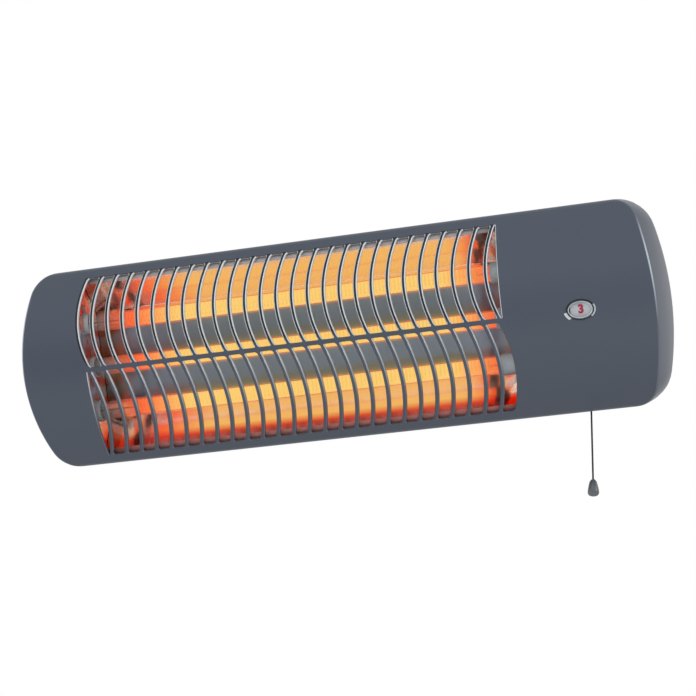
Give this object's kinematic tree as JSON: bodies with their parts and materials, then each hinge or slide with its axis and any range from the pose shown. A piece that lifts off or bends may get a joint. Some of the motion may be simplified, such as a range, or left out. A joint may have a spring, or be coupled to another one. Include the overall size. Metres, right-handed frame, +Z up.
{
  "type": "wall-hung quartz bar heater",
  "caption": "Barrel-fronted wall heater with S-barred grille over glowing quartz tubes, number window and pull cord, tilting on a wall bracket.",
  "frame": {"origin": "middle of the wall plate's back face, which lies on the wall", "axes": "+X along the heater to its window end, +Y into the wall, +Z up; the front faces -Y and down"},
  "size_m": [0.479, 0.1358, 0.1954],
  "materials": {
    "anthracite": "satin",
    "dark_plastic": "matte",
    "polished": "polished",
    "zinc": "satin",
    "quartz": "gloss",
    "hot_wire": "glowing",
    "ceramic": "matte",
    "lens": "gloss",
    "dial": "matte",
    "grey_plastic": "gloss",
    "cord": "woven"
  },
  "bodies": {
    "bracket": {"wall_bracket": "zinc", "pivot_bolt_left": "zinc", "pivot_bolt_right": "zinc", "pivot_nut_left": "zinc", "pivot_nut_right": "zinc"},
    "drum": {"number_drum": "dial"},
    "lever": {"ratchet_lever": "grey_plastic"},
    "cord_pull": {"cord_inner": "cord"},
    "cord_hang": {"pull_cord": "cord", "cord_knob": "grey_plastic"},
    "heater": {"front_cover": "anthracite", "back_cover": "dark_plastic", "thermal_cutout": "dark_plastic", "cable_gland": "dark_plastic", "switch_block": "dark_plastic", "window_bezel": "dark_plastic", "cover_screw_1": "zinc", "cover_screw_2": "zinc", "cover_screw_3": "zinc", "cover_screw_4": "zinc", "hinge_lug_left": "zinc", "hinge_lug_right": "zinc", "pan_bracket_left": "zinc", "pan_bracket_right": "zinc", "switch_frame": "zinc", "drum_shaft": "zinc", "return_spring": "zinc", "reflector_pan": "polished", "reflector_end_left": "polished", "reflector_end_right": "polished", "bus_strip": "polished", "quartz_tube_1": "quartz", "heating_coil_1": "hot_wire", "tube_cap_left_1": "ceramic", "tube_cap_right_1": "ceramic", "quartz_tube_2": "quartz", "heating_coil_2": "hot_wire", "tube_cap_left_2": "ceramic", "tube_cap_right_2": "ceramic", "quartz_tube_3": "quartz", "heating_coil_3": "hot_wire", "tube_cap_left_3": "ceramic", "tube_cap_right_3": "ceramic", "terminal_block": "dial", "window_lens": "lens", "cord_guide": "grey_plastic"}
  },
  "joints": [
    {"name": "tilt", "type": "hinge", "parent": "bracket", "child": "heater", "pos_m": [0, -0.018, -0.018], "axis": [1, 0, 0], "range_deg": [-40, 5]},
    {"name": "number_turn", "type": "hinge", "parent": "heater", "child": "drum", "pos_m": [0.1803, -0.09638, -0.03038], "axis": [1, 0, 0], "continuous": true},
    {"name": "pull", "type": "slide", "parent": "heater", "child": "cord_pull", "axis": [0, 0.6428, -0.766], "range_m": [0, 0.008], "stiffness_N_per_m": 500},
    {"name": "lever_turn", "type": "hinge", "parent": "heater", "child": "lever", "pos_m": [0.168, -0.09638, -0.03038], "axis": [1, 0, 0], "range_deg": [-26, 0]},
    {"name": "cord_swing", "type": "hinge", "parent": "cord_pull", "child": "cord_hang", "pos_m": [0.1745, -0.03522, -0.07527], "axis": [1, 0, 0], "range_deg": [-20, 20]}
  ],
  "couplings": [
    {"joint": "lever_turn", "follows": "pull", "rad_per_m": -55.556}
  ]
}
